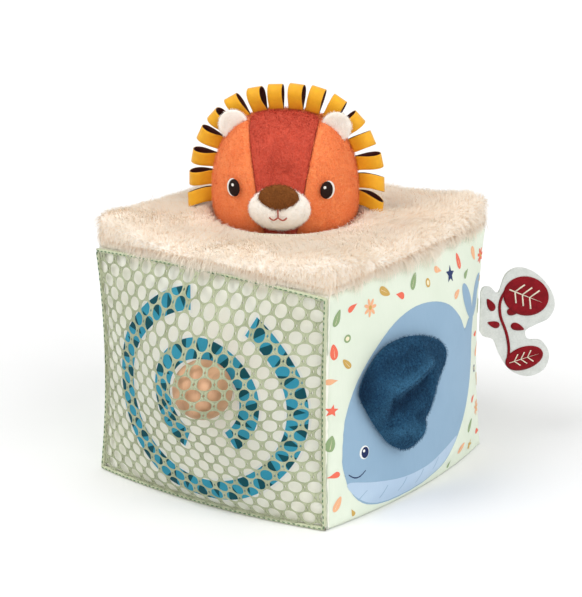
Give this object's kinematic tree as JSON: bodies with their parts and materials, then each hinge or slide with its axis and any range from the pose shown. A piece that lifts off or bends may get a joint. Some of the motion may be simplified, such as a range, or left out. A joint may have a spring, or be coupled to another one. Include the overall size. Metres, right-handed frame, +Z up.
{
  "type": "soft activity cube",
  "caption": "Padded baby cube with furry top, pull-up lion in a pocket, netted side with a loose ball, lift-up plush flap and a felt tag.",
  "frame": {"origin": "middle of the base, on the surface that the cube stands on", "axes": "+Z up through the furry top, -Y out of the netted side, +X out of the side with the plush flap"},
  "size_m": [0.2185, 0.2567, 0.2401],
  "materials": {
    "foam": "soft open foam",
    "stuffing": "polyester fibre fill",
    "ivory_cotton": "printed cotton",
    "mint_cotton": "printed cotton",
    "cream_fur": "long pile fur",
    "lining": "plain cotton",
    "net_cord": "knitted net",
    "binding_green": "bound edge",
    "orange_plush": "short pile plush",
    "brick_plush": "short pile plush",
    "cream_plush": "short pile plush",
    "brown_plush": "short pile plush",
    "ribbon": "woven ribbon",
    "eye_thread": "embroidery thread",
    "blue_plush": "short pile plush",
    "ball_wood": "smooth wood",
    "white_felt": "felt",
    "dark_red_felt": "felt",
    "crinkle_film": "rustling film"
  },
  "bodies": {
    "cube": {"foam_core": "foam", "base_panel": "mint_cotton", "net_side_panel": "ivory_cotton", "flap_side_panel": "mint_cotton", "rear_panel": "mint_cotton", "left_panel": "mint_cotton", "fur_top": "cream_fur", "pocket_liner": "lining", "net_binding": "binding_green", "play_net": "net_cord"},
    "tether": {"tether_ribbon": "ribbon"},
    "lion": {"cheek_left": "orange_plush", "cheek_right": "orange_plush", "ear_left": "cream_plush", "ear_right": "cream_plush", "eye_left": "eye_thread", "eye_right": "eye_thread", "head_back": "orange_plush", "head_gusset": "brick_plush", "head_stuffing": "stuffing", "lion_body": "orange_plush", "muzzle": "cream_plush", "nose": "brown_plush", "mane_loop_01": "ribbon", "mane_loop_02": "ribbon", "mane_loop_03": "ribbon", "mane_loop_04": "ribbon", "mane_loop_05": "ribbon", "mane_loop_06": "ribbon", "mane_loop_07": "ribbon", "mane_loop_08": "ribbon", "mane_loop_09": "ribbon", "mane_loop_10": "ribbon", "mane_loop_11": "ribbon", "mane_loop_12": "ribbon", "mane_loop_13": "ribbon", "mane_loop_14": "ribbon", "mane_loop_15": "ribbon", "mane_loop_16": "ribbon"},
    "flap": {"flap_front": "blue_plush", "flap_lining": "ivory_cotton", "flap_crinkle_film": "crinkle_film"},
    "tag": {"tag_felt": "white_felt", "tag_leaf_back_1": "dark_red_felt", "tag_leaf_back_2": "dark_red_felt", "tag_leaf_front_1": "dark_red_felt", "tag_leaf_front_2": "dark_red_felt"},
    "ball": {"ball": "ball_wood"}
  },
  "joints": [
    {"name": "lion_pull", "type": "slide", "parent": "cube", "child": "tether", "axis": [0, 0, 1], "range_m": [0, 0.045], "deforming": ["tether_ribbon"]},
    {"name": "lion_turn", "type": "hinge", "parent": "tether", "child": "lion", "pos_m": [-0.0042, -0.003, 0.17397], "axis": [0, 0, 1], "range_deg": [-40, 40]},
    {"name": "flap_lift", "type": "hinge", "parent": "cube", "child": "flap", "pos_m": [0.10321, -0.028, 0.108], "axis": [-0.1408, -0.99, 0], "range_deg": [0, 120]},
    {"name": "tag_bend", "type": "hinge", "parent": "cube", "child": "tag", "pos_m": [0.08357, 0.08357, 0.08], "axis": [0, 0, 1], "range_deg": [-75, 75], "stiffness_Nm_per_rad": 0.01},
    {"name": "ball_slide", "type": "slide", "parent": "cube", "child": "ball", "axis": [0.9944, 0.1057, 0], "range_m": [-0.03, 0.03], "deforming": ["play_net"]}
  ]
}
